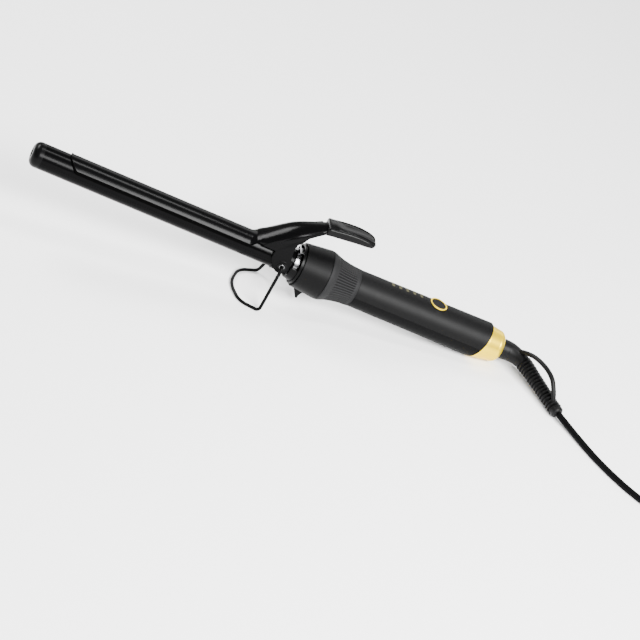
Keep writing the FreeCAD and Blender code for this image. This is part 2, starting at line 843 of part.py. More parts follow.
def make_tail():
    ring = turned(
        "tail_ring_blank",
        [
            (95.0, 15.35),
            (98.0, 15.3),
            (112.0, 14.0),
            (121.0, 12.5),
            ("via", 124.6, 11.1),
            ("tail_end", 9.0),
            ("tail_end", "boot_base_radius + 0.3"),
            (121.0, "boot_base_radius + 0.3"),
            (121.0, "tail_spigot"),
            (95.0, "tail_spigot"),
        ],
    )
    keep = behind_tail_join("behind_ring")
    piece("tail_ring", common("tail_ring", ring, keep), HANDLE)
    socket = turned(
        "swivel_socket",
        [
            (109.0, "stem_radius + pivot_clearance"),
            (109.0, "tail_bore"),
            (120.6, "tail_bore"),
            (120.6, "stem_radius + pivot_clearance"),
        ],
    )
    piece("swivel_socket", socket, HANDLE)
    stem = turned(
        "swivel_stem",
        [
            (95.0, 0),
            (95.0, "slip_core_radius"),
            (106.6, "slip_core_radius"),
            (106.6, 6.5),
            (108.7, 6.5),
            (108.7, "stem_radius"),
            (121.2, "stem_radius"),
            (121.2, 5.2),
            (130.0, 5.2),
            (130.0, 0),
        ],
    )
    piece("swivel_stem", stem, HANDLE)
    spots = ["slip_ring_start + %d * slip_ring_pitch" % i for i in range(2)]
    rings = [tube("slip_ring", "slip_ring_radius", "slip_core_radius", "slip_ring_width", u) for u in spots]
    piece("slip_rings", group("slip_rings", rings), HANDLE)


# ---------------------------------------------------------------- cord boot and cord, in the table's frame

# The boot's middle line from the tail to the cord, and its radius at each point.
BOOT = (
    ((378.67, 0.0, 12.6), 8.0),
    ((389.9, -1.3, 11.9), 7.4),
    ((396.7, -6.3, 11.5), 6.5),
    ((402.2, -14.2, 10.6), 5.7),
    ((407.2, -23.3, 9.3), 5.3),
    ((413.1, -34.3, 7.9), 5.0),
    ((418.6, -44.6, 6.6), 4.7),
    ((424.3, -55.0, 5.4), 4.7),
)
LOOP = (
    (395.2, -5.9, 15.0),
    (399.3, -12.6, 21.9),
    (408.1, -27.2, 26.2),
    (416.3, -41.0, 20.0),
    (419.9, -47.3, 7.6),
)
LOOP_RADIUS = 1.9

CORD_ROUTE = (
    (424.65, -55.5, 5.3),
    (436.5, -72.5, 2.8),
    (455.0, -103.0, 2.5),
    (482.0, -132.5, 2.5),
    (516.0, -150.5, 2.6),
    (545.0, -155.0, 3.2),
)
CORD_TAIL = (
    (571.0, -118.0, 8.0),
    (566.5, -99.0, 7.0),
    (563.5, -79.0, 6.7),
    (563.0, -57.0, 6.8),
)
PLUG_FRONT = (563.0, -57.0)
PLUG_TURN = 91.0


def make_boot():
    middles = [Vector(*spot) for spot, _ in BOOT]
    circles = []
    for i, (_, radius) in enumerate(BOOT):
        before = middles[max(i - 1, 0)]
        after = middles[min(i + 1, len(middles) - 1)]
        direction = HANDLE.Rotation.multVec(X_AXIS) if i == 0 else after - before
        circles.append(Part.Wire([Part.makeCircle(radius, middles[i], direction)]))
    sleeve = solid("boot_sleeve", Part.makeLoft(circles, True, True))
    points = [Vector(*p) for p in LOOP]
    loop = solid("boot_loop", round_bar(rounded_path(points, cord_radii(points)), LOOP_RADIUS))
    core = cylinder("boot_core", 5.2, 8.8, 121.2, 0.0, 0.0)
    core.Placement = HANDLE.multiply(core.Placement)
    core.Placement = TABLE.inverse().multiply(core.Placement)
    piece("cord_boot", cut("cord_boot", fuse("boot_blank", sleeve, loop), core), TABLE)


def make_cord():
    radius = DIMS["cord_radius"]
    for label, route in (("power_cord", CORD_ROUTE), ("cord_tail", CORD_TAIL)):
        points = [Vector(*p) for p in route]
        radii = cord_radii(points)
        print(label, "radii", ["%.1f" % r for r in radii])
        piece(label, solid(label, round_bar(rounded_path(points, radii), radius)), TABLE)
    coil = doc.addObject("PartDesign::Body", "coil_body")
    near = "coil_mid - coil_half_width"
    far = "coil_mid + coil_half_width"
    profile = outline(
        coil,
        "coil_section",
        "XZ_Plane",
        [
            (near, 2.5),
            ("via", "coil_mid - coil_half_width + 0.75", 0.75),
            ("coil_mid - coil_half_width + 2.5", 0),
            ("coil_mid + coil_half_width - 2.5", 0),
            ("via", "coil_mid + coil_half_width - 0.75", 0.75),
            (far, 2.5),
            (far, "coil_height - 4"),
            ("coil_mid + 2.5", "coil_height"),
            ("coil_mid - 2.5", "coil_height"),
            (near, "coil_height - 4"),
        ],
    )
    turn = coil.newObject("PartDesign::Revolution", "coil_turn")
    turn.Profile = profile
    turn.ReferenceAxis = (profile, ["V_Axis"])
    turn.Angle = 360
    coil.Tip = turn
    move(coil, "coil_across", "coil_beside", 0.0)
    piece("cord_coil", cut("cord_coil", coil, tie_strap("coil_groove")), TABLE)
    piece("cord_tie", tie_strap("cord_tie"), TABLE)


def tie_strap(name):
    """The flat strap round the coil's section; the coil is cut by the same shape."""
    side = "coil_beside - tie_width / 2"
    outside = box(
        name + "_outside",
        ("2 * (coil_half_width + tie_sheet)", "tie_width", "coil_height + tie_sheet"),
        ("coil_across + coil_mid - coil_half_width - tie_sheet", side, 0.0),
    )
    inside = box(
        name + "_inside",
        ("2 * coil_half_width - 0.2", "tie_width", "coil_height - tie_sheet"),
        ("coil_across + coil_mid - coil_half_width + 0.1", side, "tie_sheet"),
    )
    return cut(name, outside, inside)


def make_plug():
    """A flat two-pin plug, drawn along +X from its cord end, lying on the table."""
    body = doc.addObject("PartDesign::Body", "plug_housing")
    sketch = outline(
        body,
        "plug_outline",
        "XY_Plane",
        [
            (0, -3.6),
            (9, -5.0),
            (15, -13.5),
            (33, -16.8),
            ("plug_length", -15.5),
            ("plug_length", 15.5),
            (33, 16.8),
            (15, 13.5),
            (9, 5.0),
            (0, 3.6),
        ],
    )
    pad = body.newObject("PartDesign::Pad", "plug_thickness")
    pad.Profile = sketch
    bind(pad, "Length", "plug_height")
    body.Tip = pad
    place = TABLE.multiply(Placement(Vector(*PLUG_FRONT, 0), Rotation(Z_AXIS, PLUG_TURN)))
    piece("plug_body", body, place)
    sides = ("-pin_spacing / 2", "pin_spacing / 2")
    size = ("pin_radius", "pin_length")
    pins = [cylinder("plug_pin", *size, "plug_length", y, "plug_height / 2") for y in sides]
    piece("plug_pins", group("plug_pins", pins), place)


# ---------------------------------------------------------------- build, check and write

CORD_NODES = ("power_cord", "cord_tail", "cord_coil", "cord_tie", "plug_body", "plug_pins", "cord_boot")


def export():
    doc.recompute()
    for obj in doc.Objects:
        if "Invalid" in obj.State or "Error" in obj.State:
            raise RuntimeError("%s failed: %s" % (obj.Name, obj.State))
    os.makedirs("parts", exist_ok=True)
    iron = FreeCAD.BoundBox()
    for obj in parts:
        shape = obj.Shape
        if shape.isNull() or not shape.isValid() or not shape.Solids:
            raise RuntimeError("%s has no valid shape" % obj.Label)
        shape.exportStep("parts/%s.step" % obj.Label)
        box_of = shape.optimalBoundingBox(False)
        if obj.Label not in CORD_NODES:
            iron.add(box_of)
        print(
            "%-20s %d solid(s) %9.1f mm3  x %7.1f %7.1f  y %7.1f %7.1f  z %6.1f %6.1f"
            % (
                obj.Label, len(shape.Solids), shape.Volume,
                box_of.XMin, box_of.XMax, box_of.YMin, box_of.YMax, box_of.ZMin, box_of.ZMax,
            )
        )
    print("iron without its cord", iron)


make_barrel()
make_heater()
make_clamp()
make_pivot()
make_spring()
make_wire_rest()
make_neck()
make_collar()
make_grip()
make_shells()
make_controls()
make_electronics()
make_tail()
make_boot()
make_cord()
make_plug()
export()
print("pivot at", IRON.multVec(PIVOT))
print("swivel axis from", HANDLE.multVec(Vector()), "to", HANDLE.multVec(Vector(DIMS["tail_end"], 0, 0)))
print("button axis", HANDLE.Rotation.multVec(Z_AXIS))
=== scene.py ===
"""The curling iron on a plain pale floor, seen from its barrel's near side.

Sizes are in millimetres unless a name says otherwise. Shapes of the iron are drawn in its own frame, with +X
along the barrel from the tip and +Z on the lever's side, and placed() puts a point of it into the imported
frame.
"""

import math

import bmesh
import bpy
from mathutils import Matrix, Vector


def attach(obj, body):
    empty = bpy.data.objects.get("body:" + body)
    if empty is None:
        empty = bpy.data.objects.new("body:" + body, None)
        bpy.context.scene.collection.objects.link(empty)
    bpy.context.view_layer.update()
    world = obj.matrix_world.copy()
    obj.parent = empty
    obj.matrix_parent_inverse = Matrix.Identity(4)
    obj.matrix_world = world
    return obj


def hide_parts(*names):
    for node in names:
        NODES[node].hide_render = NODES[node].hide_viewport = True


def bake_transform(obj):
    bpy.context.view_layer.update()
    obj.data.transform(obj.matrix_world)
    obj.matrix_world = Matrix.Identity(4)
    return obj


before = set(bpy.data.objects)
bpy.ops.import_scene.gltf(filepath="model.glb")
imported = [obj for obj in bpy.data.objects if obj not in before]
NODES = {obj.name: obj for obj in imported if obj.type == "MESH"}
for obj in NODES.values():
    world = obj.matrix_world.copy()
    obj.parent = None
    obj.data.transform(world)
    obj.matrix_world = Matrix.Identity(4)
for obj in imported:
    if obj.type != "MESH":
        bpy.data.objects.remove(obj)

MM = 0.001
COLLECTION = bpy.context.scene.collection


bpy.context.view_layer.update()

# The iron's tilt and place, as the CAD has them.
TILT = math.radians(7.145)
ORIGIN_SHIFT = 192.067
TIP_LIFT = 58.969
IRON = Matrix.Translation((-ORIGIN_SHIFT * MM, 0, TIP_LIFT * MM)) @ Matrix.Rotation(TILT, 4, "Y")
# What lies on the table keeps the iron's own X and Y but stays level.
TABLE = Matrix.Translation((-ORIGIN_SHIFT * MM, 0, 0))


def placed(matrix, point):
    return matrix @ (Vector(point) * MM)


# ---------------------------------------------------------------- camera

CAMERA_SPOT = Vector((-287.22, -1161.83, 742.55)) * MM
CAMERA_AZIMUTH = math.radians(-16.19)
CAMERA_ELEVATION = math.radians(31.845)
CAMERA_ROLL = math.radians(24.83)
LENS_MM = 106.9
PICTURE_SIDE = 640


def make_camera():
    data = bpy.data.cameras.new("camera")
    data.sensor_width = 36.0
    data.lens = LENS_MM
    data.clip_end = 20.0
    camera = bpy.data.objects.new("camera", data)
    turn = Matrix.Rotation(CAMERA_AZIMUTH, 4, "Z")
    tip = Matrix.Rotation(math.pi / 2 - CAMERA_ELEVATION, 4, "X")
    roll = Matrix.Rotation(CAMERA_ROLL, 4, "Z")
    camera.matrix_world = Matrix.Translation(CAMERA_SPOT) @ turn @ tip @ roll
    COLLECTION.objects.link(camera)
    bpy.context.scene.camera = camera
    bpy.context.scene.render.resolution_x = PICTURE_SIDE
    bpy.context.scene.render.resolution_y = PICTURE_SIDE


# ---------------------------------------------------------------- materials


def material(name, colour, roughness, metallic=0.0, specular=0.5, mottle=0.0, grain=0.0, grain_mm=0.4):
    """A finish whose colour and roughness vary a little (mottle) and whose surface has a fine grain."""
    mat = bpy.data.materials.new(name)
    mat.use_nodes = True
    tree = mat.node_tree
    shader = tree.nodes["Principled BSDF"]
    shader.inputs["Base Color"].default_value = (*colour, 1)
    shader.inputs["Roughness"].default_value = roughness
    shader.inputs["Metallic"].default_value = metallic
    shader.inputs["Specular IOR Level"].default_value = specular
    place = tree.nodes.new("ShaderNodeTexCoord").outputs["Object"]
    if mottle:
        add_mottle(tree, shader, place, colour, roughness, mottle)
    if grain:
        add_grain(tree, shader, place, grain, grain_mm)
    return mat


MOTTLE_MM = 22.0
SMEAR_MM = 5.0
GRAIN_HEIGHT_MM = 0.05


def noise(tree, place, size_mm, detail):
    node = tree.nodes.new("ShaderNodeTexNoise")
    node.inputs["Scale"].default_value = 1 / (size_mm * MM)
    node.inputs["Detail"].default_value = detail
    tree.links.new(place, node.inputs["Vector"])
    return node.outputs["Fac"]


def add_mottle(tree, shader, place, colour, roughness, amount):
    """Handling marks: slow changes of colour and faster changes of roughness."""
    ramp = tree.nodes.new("ShaderNodeMix")
    ramp.data_type = "RGBA"
    ramp.inputs[6].default_value = (*[c * (1 - amount) for c in colour], 1)
    ramp.inputs[7].default_value = (*[min(1, c * (1 + amount)) for c in colour], 1)
    tree.links.new(noise(tree, place, MOTTLE_MM, 4.0), ramp.inputs[0])
    tree.links.new(ramp.outputs[2], shader.inputs["Base Color"])
    spread = tree.nodes.new("ShaderNodeMapRange")
    spread.inputs["To Min"].default_value = roughness * (1 - 0.5 * amount)
    spread.inputs["To Max"].default_value = min(1.0, roughness * (1 + 0.5 * amount))
    tree.links.new(noise(tree, place, SMEAR_MM, 6.0), spread.inputs["Value"])
    tree.links.new(spread.outputs["Result"], shader.inputs["Roughness"])


def add_grain(tree, shader, place, strength, size_mm):
    bump = tree.nodes.new("ShaderNodeBump")
    bump.inputs["Strength"].default_value = strength
    bump.inputs["Distance"].default_value = GRAIN_HEIGHT_MM * MM
    tree.links.new(noise(tree, place, size_mm, 3.0), bump.inputs["Height"])
    tree.links.new(bump.outputs["Normal"], shader.inputs["Normal"])


BLACK_GLOSS = material(
    "black_gloss", (0.0012, 0.0012, 0.0013), 0.2, specular=0.033, mottle=0.15, grain=0.05, grain_mm=1.5
)
CLAMP_GLOSS = material(
    "clamp_gloss", (0.0013, 0.0013, 0.0014), 0.2, specular=0.05, mottle=0.15, grain=0.06, grain_mm=1.2
)
# A near-black for the clamp sheet's lower edges: painted shadow of the gap between the sheet's edge and the
# barrel.
GAP_SHADOW_BLACK = material("painted_gap_shadow", (0.0004, 0.0004, 0.0004), 0.7, specular=0.01, mottle=0.1, grain=0.1)
CAP_BLACK = material(
    "cap_black", (0.0017, 0.0017, 0.0018), 0.3, specular=0.055, mottle=0.15, grain=0.2, grain_mm=0.35
)
BRACKET_BLACK = material(
    "bracket_black", (0.0022, 0.0022, 0.0023), 0.5, specular=0.035, mottle=0.15, grain=0.3, grain_mm=0.3
)
REST_PLASTIC = material(
    "rest_plastic", (0.0022, 0.0022, 0.0023), 0.25, specular=0.08, mottle=0.12, grain=0.3, grain_mm=0.3
)
COLLAR_PLASTIC = material(
    "collar_plastic", (0.0015, 0.0015, 0.0016), 0.48, specular=0.07, mottle=0.12, grain=0.35, grain_mm=0.3
)
GRIP_RUBBER = material(
    "grip_rubber", (0.0095, 0.0095, 0.0098), 0.6, specular=0.09, mottle=0.12, grain=0.5, grain_mm=0.25
)
# The grip's rubber made darker: painted shade for its seams, notches and flute bottoms.
GROOVE_SHADE_RUBBER = material(
    "grip_groove_painted_shade", (0.0045, 0.0045, 0.0046), 0.7, specular=0.05, mottle=0.12, grain=0.5, grain_mm=0.25
)
SHELL_BLACK = material(
    "shell_black", (0.0017, 0.0017, 0.0018), 0.5, specular=0.09, mottle=0.12, grain=0.35, grain_mm=0.28
)
# The shell's black made darker and less reflective for the lower shell: painted shade on the handle's
# underside.
SHELL_LOWER_SHADED = material(
    "shell_lower_painted_shade", (0.0016, 0.0016, 0.0017), 0.5, specular=0.045, mottle=0.12, grain=0.35, grain_mm=0.28
)
GOLD = material(
    "gold", (0.83, 0.585, 0.001), 0.34, metallic=0.72, specular=0.15, mottle=0.05, grain=0.1, grain_mm=0.3
)
STEEL = material(
    "polished_steel", (0.15, 0.15, 0.155), 0.22, metallic=1.0, mottle=0.08, grain=0.08, grain_mm=0.6
)
LIP_STEEL = material("lip_steel", (0.16, 0.16, 0.165), 0.3, metallic=1.0, mottle=0.1, grain=0.1)
DARK_STEEL = material(
    "dark_steel", (0.004, 0.004, 0.0041), 0.35, metallic=0.2, specular=0.08, mottle=0.15, grain=0.2
)
ZINC = material("zinc_steel", (0.45, 0.45, 0.46), 0.38, metallic=1.0, mottle=0.15, grain=0.2)
WIRE_BLACK = material(
    "wire_black", (0.0015, 0.0015, 0.0016), 0.38, specular=0.07, mottle=0.15, grain=0.2, grain_mm=0.5
)
CORD_RUBBER = material(
    "cord_rubber", (0.0009, 0.0009, 0.001), 0.5, specular=0.04, mottle=0.15, grain=0.35, grain_mm=0.35
)
BOOT_RUBBER = material(
    "boot_rubber", (0.0022, 0.0022, 0.0023), 0.44, specular=0.11, mottle=0.12, grain=0.3, grain_mm=0.3
)
PLUG_PLASTIC = material(
    "plug_plastic", (0.003, 0.003, 0.0031), 0.45, specular=0.1, mottle=0.12, grain=0.4, grain_mm=0.3
)
PIN_METAL = material("pin_metal", (0.6, 0.6, 0.58), 0.28, metallic=1.0, mottle=0.1, grain=0.1)
WINDOW = material("window", (0.03, 0.026, 0.006), 0.3, specular=0.15, mottle=0.05, grain=0.05)
CERAMIC = material("ceramic", (0.85, 0.83, 0.78), 0.5, mottle=0.05, grain=0.2)
ALUMINIUM = material("aluminium", (0.8, 0.8, 0.8), 0.35, metallic=1.0, mottle=0.1, grain=0.2)
AMBER_FILM = material("amber_film", (0.55, 0.28, 0.05), 0.3, mottle=0.1, grain=0.05)
BOARD_GREEN = material("board_green", (0.03, 0.16, 0.07), 0.35, mottle=0.15, grain=0.1)
PART_BLACK = material("part_black", (0.01, 0.01, 0.01), 0.5, mottle=0.1, grain=0.3)
MOULDED_WHITE = material("moulded_white", (0.75, 0.75, 0.72), 0.5, mottle=0.05, grain=0.2)
BRASS = material("brass", (0.75, 0.55, 0.25), 0.3, metallic=1.0, mottle=0.1, grain=0.1)
SILICONE = material("silicone", (0.75, 0.75, 0.73), 0.55, mottle=0.05, grain=0.2)
FLOOR_WHITE = material("floor_white", (0.93, 0.93, 0.93), 0.9, specular=0.1)

NODE_FINISH = {
    "barrel_tube": BLACK_GLOSS,
    "barrel_end_cap": CAP_BLACK,
    "cap_screw": ZINC,
    "cap_anchor_nut": ZINC,
    "heat_spreader_upper": ALUMINIUM,
    "heat_spreader_lower": ALUMINIUM,
    "heater_film": AMBER_FILM,
    "heater_plate": CERAMIC,
    "thermal_fuse": MOULDED_WHITE,
    "heater_leads": SILICONE,
    "lead_spacer": CERAMIC,
    "clamp_lever": CLAMP_GLOSS,
    "thumb_rest": REST_PLASTIC,
    "thumb_screws": ZINC,
    "pivot_saddle": DARK_STEEL,
    "pivot_rivets": DARK_STEEL,
    "clamp_spring": ZINC,
    "wire_rest": WIRE_BLACK,
    "neck_band": STEEL,
    "front_collar": COLLAR_PLASTIC,
    "shield_ring": CAP_BLACK,
    "grip_sleeve": GRIP_RUBBER,
    "handle_upper_shell": SHELL_BLACK,
    # The lower shell takes the painted-shade copy of the shell's black.
    "handle_lower_shell": SHELL_LOWER_SHADED,
    "shell_screws": ZINC,
    "light_pipe": WINDOW,
    "indicator_leds": WINDOW,
    "button_bezel": GOLD,
    "power_button": SHELL_BLACK,
    "tact_switch": PART_BLACK,
    "circuit_board": BOARD_GREEN,
    "power_capacitor": PART_BLACK,
    "heater_triac": PART_BLACK,
    "terminal_block": MOULDED_WHITE,
    "contact_blades": BRASS,
    "tail_ring": GOLD,
    "swivel_socket": MOULDED_WHITE,
    "swivel_stem": MOULDED_WHITE,
    "slip_rings": BRASS,
    "cord_boot": BOOT_RUBBER,
    "power_cord": CORD_RUBBER,
    "cord_tail": CORD_RUBBER,
    "cord_coil": CORD_RUBBER,
    "cord_tie": PART_BLACK,
    "plug_body": PLUG_PLASTIC,
    "plug_pins": PIN_METAL,
}


def dress_nodes():
    for name, finish in NODE_FINISH.items():
        node = NODES[name]
        for slot in node.material_slots:
            slot.material = finish


# ---------------------------------------------------------------- mesh helpers


def mesh_object(name, vertices, faces, finish, smooth_angle=40.0):
    """A mesh from points in metres, smooth but for edges sharper than smooth_angle."""
    mesh = bpy.data.meshes.new(name)
    mesh.from_pydata([tuple(v) for v in vertices], [], faces)
    mesh.validate()
    sheet = bmesh.new()
    sheet.from_mesh(mesh)
    bmesh.ops.recalc_face_normals(sheet, faces=sheet.faces)
    sheet.to_mesh(mesh)
    sheet.free()
    obj = bpy.data.objects.new(name, mesh)
    COLLECTION.objects.link(obj)
    mesh.materials.append(finish)
    for polygon in mesh.polygons:
        polygon.use_smooth = True
    mesh.set_sharp_from_angle(angle=math.radians(smooth_angle))
    return obj


def grid_faces(rows, columns, closed_rows=False):
    """Quads over rings of points that are stored one after another."""
    faces = []
    for i in range(rows if closed_rows else rows - 1):
        for j in range(columns):
            a = i * columns + j
            b = i * columns + (j + 1) % columns
            c = ((i + 1) % rows) * columns + (j + 1) % columns
            d = ((i + 1) % rows) * columns + j
            faces.append((a, b, c, d))
    return faces


def end_caps(rows, columns):
    """One face over each end of a grid of rings."""
    last = (rows - 1) * columns
    return [tuple(range(columns))[::-1], tuple(range(last, last + columns))]


def sheet_ends(rows, columns):
    """Quads over the ends of a bent sheet, whose rings run along its outside and back along its inside."""
    faces = []
    around = 2 * columns
    for start in (0, (rows - 1) * around):
        for j in range(columns - 1):
            faces.append((start + j, start + j + 1, start + around - 2 - j, start + around - 1 - j))
    return faces


def prism_faces(count):
    """The faces between two outlines of count points."""
    faces = [tuple(range(count)), tuple(range(2 * count - 1, count - 1, -1))]
    for i in range(count):
        following = (i + 1) % count
        faces.append((i, i + count, following + count, following))
    return faces


def arc_point(y, z, radius, degrees):
    angle = math.radians(degrees)
    return y + radius * math.cos(angle), z + radius * math.sin(angle)


CURVE_SAMPLES = 600


def blend_points(points, t):
    """A point on the smooth curve through points, which have even steps of t from 0 to 1."""
    spans = len(points) - 1
    position = min(max(t, 0.0), 1.0) * spans
    i = min(int(position), spans - 1)
    u = position - i
    before = points[max(i - 1, 0)]
    start, end = points[i], points[i + 1]
    after = points[min(i + 2, spans)]
    total = []
    for p0, p1, p2, p3 in zip(before, start, end, after):
        cubic = -p0 + 3 * p1 - 3 * p2 + p3
        square = 2 * p0 - 5 * p1 + 4 * p2 - p3
        total.append(0.5 * (2 * p1 + (p2 - p0) * u + square * u * u + cubic * u**3))
    return total


def resampled(points, count):
    """count points an even distance apart on the smooth curve through points. Extra numbers ride along."""
    fine = [blend_points(points, i / CURVE_SAMPLES) for i in range(CURVE_SAMPLES + 1)]
    lengths = [0.0]
    for a, b in zip(fine, fine[1:]):
        lengths.append(lengths[-1] + math.dist(a[:3], b[:3]))
    result = []
    k = 0
    for i in range(count):
        goal = lengths[-1] * i / (count - 1)
        while k < len(fine) - 2 and lengths[k + 1] < goal:
            k += 1
        u = (goal - lengths[k]) / max(lengths[k + 1] - lengths[k], 1e-9)
        result.append([a + (b - a) * u for a, b in zip(fine[k], fine[k + 1])])
    return result


def frames_along(points, first_normal):
    """(point, tangent, normal, binormal) along a path, with as little twist as possible."""
    frames = []
    normal = Vector(first_normal)
    for i, point in enumerate(points):
        before = points[max(i - 1, 0)]
        after = points[min(i + 1, len(points) - 1)]
        tangent = (after - before).normalized()
        normal = (normal - tangent * normal.dot(tangent)).normalized()
        frames.append((point, tangent, normal, tangent.cross(normal)))
    return frames


def swept(name, frames, radius_at, around, finish, smooth_angle=40.0):
    """A tube along frames on the table. radius_at(row, angle) is in millimetres."""
    vertices = []
    for i, (point, _, normal, binormal) in enumerate(frames):
        for j in range(around):
            angle = 2 * math.pi * j / around
            radius = radius_at(i, angle)
            offset = normal * math.cos(angle) * radius + binormal * math.sin(angle) * radius
            vertices.append(placed(TABLE, point + offset))
    faces = grid_faces(len(frames), around) + end_caps(len(frames), around)
    return mesh_object(name, vertices, faces, finish, smooth_angle)


def round_edges(obj, width_mm, segments, angle=30.0):
    bevel = obj.modifiers.new("edges", "BEVEL")
    bevel.width = width_mm * MM
    bevel.segments = segments
    bevel.limit_method = "ANGLE"
    bevel.angle_limit = math.radians(angle)
    bevel.harden_normals = True
    return obj


# ---------------------------------------------------------------- clamp

# Stations of the lever, each: along, crown height, shoulder height, half width, lower edge height.
LEVER = (
    (25.6, 10.45, 9.6, 3.5, 8.2),
    (27.0, 10.45, 8.2, 6.5, 6.6),
    (30.0, 10.45, 6.4, 8.25, 4.6),
    (36.0, 10.45, 4.4, 9.5, 3.3),
    (100.0, 10.45, 4.4, 9.5, 3.3),
    (150.0, 10.45, 4.4, 9.5, 3.3),
    (166.0, 10.45, 4.4, 9.6, 3.3),
    (171.0, 10.8, 8.7, 8.8, 8.1),
    (175.0, 13.4, 9.8, 9.6, 9.2),
    (179.0, 17.1, 10.8, 10.5, 9.5),
    (183.0, 20.9, 12.6, 11.1, 11.8),
    (187.0, 24.6, 15.8, 11.2, 14.9),
    (191.0, 28.0, 18.8, 11.2, 17.9),
    (196.0, 31.4, 22.2, 10.9, 21.3),
    (201.0, 34.1, 25.6, 10.1, 24.8),
    (206.0, 36.6, 29.4, 8.9, 28.7),
    (212.0, 39.4, 33.9, 7.4, 33.2),
    (216.2, 41.1, 36.3, 6.6, 35.7),
)
SHEET = 0.75
# The tongue is a part of a circle, and its end has a rounded outline.
TONGUE_RADIUS = 10.45
TONGUE_REACH = 9.9
NOSE_RADIUS = 10.5
NOSE_END = 36.0
NOSE_PLACES = (25.55, 25.8, 26.3, 27, 28, 29.5, 31, 33, NOSE_END)
# The rolled lower edges.
HEM_START = 27.0
HEM_TURN = math.radians(5.0)
LIP_PROUD = 0.3
LIP_POINTS = 3
# Where the tongue's section turns into the lever's.
BEND_START = 168.0
BEND_END = 174.0
TONGUE_STEP = 6.0
LEVER_STEP = 0.9
SECTION_POINTS = 29
CROWN_POINTS = SECTION_POINTS - 4
CROWN_FULLNESS = 0.92


def lever_at(along):
    """Crown, shoulder, half width and lower edge of the lever at one place along it."""
    for before, after in zip(LEVER, LEVER[1:]):
        if before[0] <= along <= after[0]:
            break
    i = LEVER.index(before)
    spots = (LEVER[max(i - 1, 0)], before, after, LEVER[min(i + 2, len(LEVER) - 1)])
    return between(spots, (along - before[0]) / (after[0] - before[0]))[1:]


def slope(before, middle, after, k):
    """The slope at the middle station that lets a curve pass it without overshoot."""
    left = (middle[k] - before[k]) / max(middle[0] - before[0], 1e-6)
    right = (after[k] - middle[k]) / max(after[0] - middle[0], 1e-6)
    if left * right <= 0:
        return 0.0
    return 2 * left * right / (left + right)


def lever_outline(along, inset):
    """Points of the lever's section from one lower edge over the crown to the other, as (y, z)."""
    crown, shoulder, half, edge = lever_at(along)
    crown -= inset
    half -= inset
    points = [(-half, edge), (-half, (edge + shoulder) / 2)]
    rise = crown - shoulder
    for i in range(CROWN_POINTS):
        angle = math.pi * i / (CROWN_POINTS - 1)
        points.append((-half * math.cos(angle), shoulder + rise * math.sin(angle) ** CROWN_FULLNESS))
    points += [(half, (edge + shoulder) / 2), (half, edge)]
    return points


def spoon_outline(along, inset):
    """The tongue's section over the barrel: a part of a circle whose lower edges stand a little proud."""
    reach = TONGUE_REACH
    if along < NOSE_END:
        reach = min(reach, math.sqrt(NOSE_RADIUS**2 - (NOSE_END - along) ** 2))
    limit = math.asin(reach / TONGUE_RADIUS)
    if inset and along > HEM_START:
        limit += HEM_TURN
    middle = SECTION_POINTS // 2
    points = []
    for i in range(SECTION_POINTS):
        lip = LIP_PROUD * max(0.0, abs(i - middle) - middle + LIP_POINTS) / LIP_POINTS
        radius = TONGUE_RADIUS - inset + (0.0 if inset else lip)
        angle = limit * (i / middle - 1)
        points.append((radius * math.sin(angle), radius * math.cos(angle)))
    return points


def clamp_outline(along, inset):
    if along <= BEND_START:
        return spoon_outline(along, inset)
    lever = lever_outline(along, inset)
    if along >= BEND_END:
        return lever
    u = (along - BEND_START) / (BEND_END - BEND_START)
    spoon = spoon_outline(BEND_START, inset)
    return [(a[0] + (b[0] - a[0]) * u, a[1] + (b[1] - a[1]) * u) for a, b in zip(spoon, lever)]


def make_clamp():
    """The pressed clamp: a tongue over the barrel that rises into a hollow rounded lever."""
    tongue_steps = int((BEND_START - NOSE_END) / TONGUE_STEP)
    lever_steps = int((LEVER[-1][0] - BEND_START) / LEVER_STEP)
    places = list(NOSE_PLACES) + [NOSE_END + TONGUE_STEP * i for i in range(1, tongue_steps)]
    places += [BEND_START + LEVER_STEP * i for i in range(lever_steps + 1)]
    vertices = []
    for along in places:
        section = clamp_outline(along, 0.0) + clamp_outline(along, SHEET)[::-1]
        vertices += [placed(IRON, (along, y, z)) for y, z in section]
    around = 2 * SECTION_POINTS
    faces = grid_faces(len(places), around) + sheet_ends(len(places), SECTION_POINTS)
    clamp = mesh_object("clamp_pressing", vertices, faces, CLAMP_GLOSS, 50.0)
    hem_rows = sum(1 for along in places if along < BEND_END)
    # The edge faces and the outer strips along both lower edges get the painted gap shadow.
    paint_hem_shadow(clamp, hem_rows, around, (0, 1, SECTION_POINTS - 3, SECTION_POINTS - 2))
    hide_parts("clamp_lever")
    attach(clamp, "clamp")


def paint_hem_shadow(piece, rows, around, columns):
    """Paint shade on the lower edges of a bent sheet and on the given columns of faces beside them: a painted
    shadow of the gap between the edge and the barrel.
    """
    piece.data.materials.append(GAP_SHADOW_BLACK)
    for row in range(rows):
        for column in columns + (around // 2 - 1, around - 1):
            piece.data.polygons[row * around + column].material_index = 1


# The side of the bracket under the lever, as points of its outline in (along, height).
BRACKET_SIDE = (
    (187.4, 9.2),
    (187.0, 3.4),
    (190.6, -3.0),
    (192.2, -4.6),
    (194.4, -6.4),
    (197.3, -7.1),
    (200.2, -6.4),
    (202.5, -4.4),
    (203.4, -1.5),
    (202.6, 2.0),
    (201.2, 6.5),
    (200.0, 11.0),
    (199.0, 16.5),
    (199.6, 20.5),
    (202.8, 24.0),
    (205.6, 29.4),
    (208.4, 33.0),
    (212.0, 36.2),
    (212.0, 37.6),
    (206.0, 33.4),
    (198.5, 27.6),
    (191.0, 22.4),
    (183.0, 15.6),
    (178.0, 10.8),
    (177.2, 9.3),
)

SPRING_FOOT = (207.0, 0, 11.5)
SPRING_TIP = (196.5, 0, 30.1)
SPRING_CUTS = 10


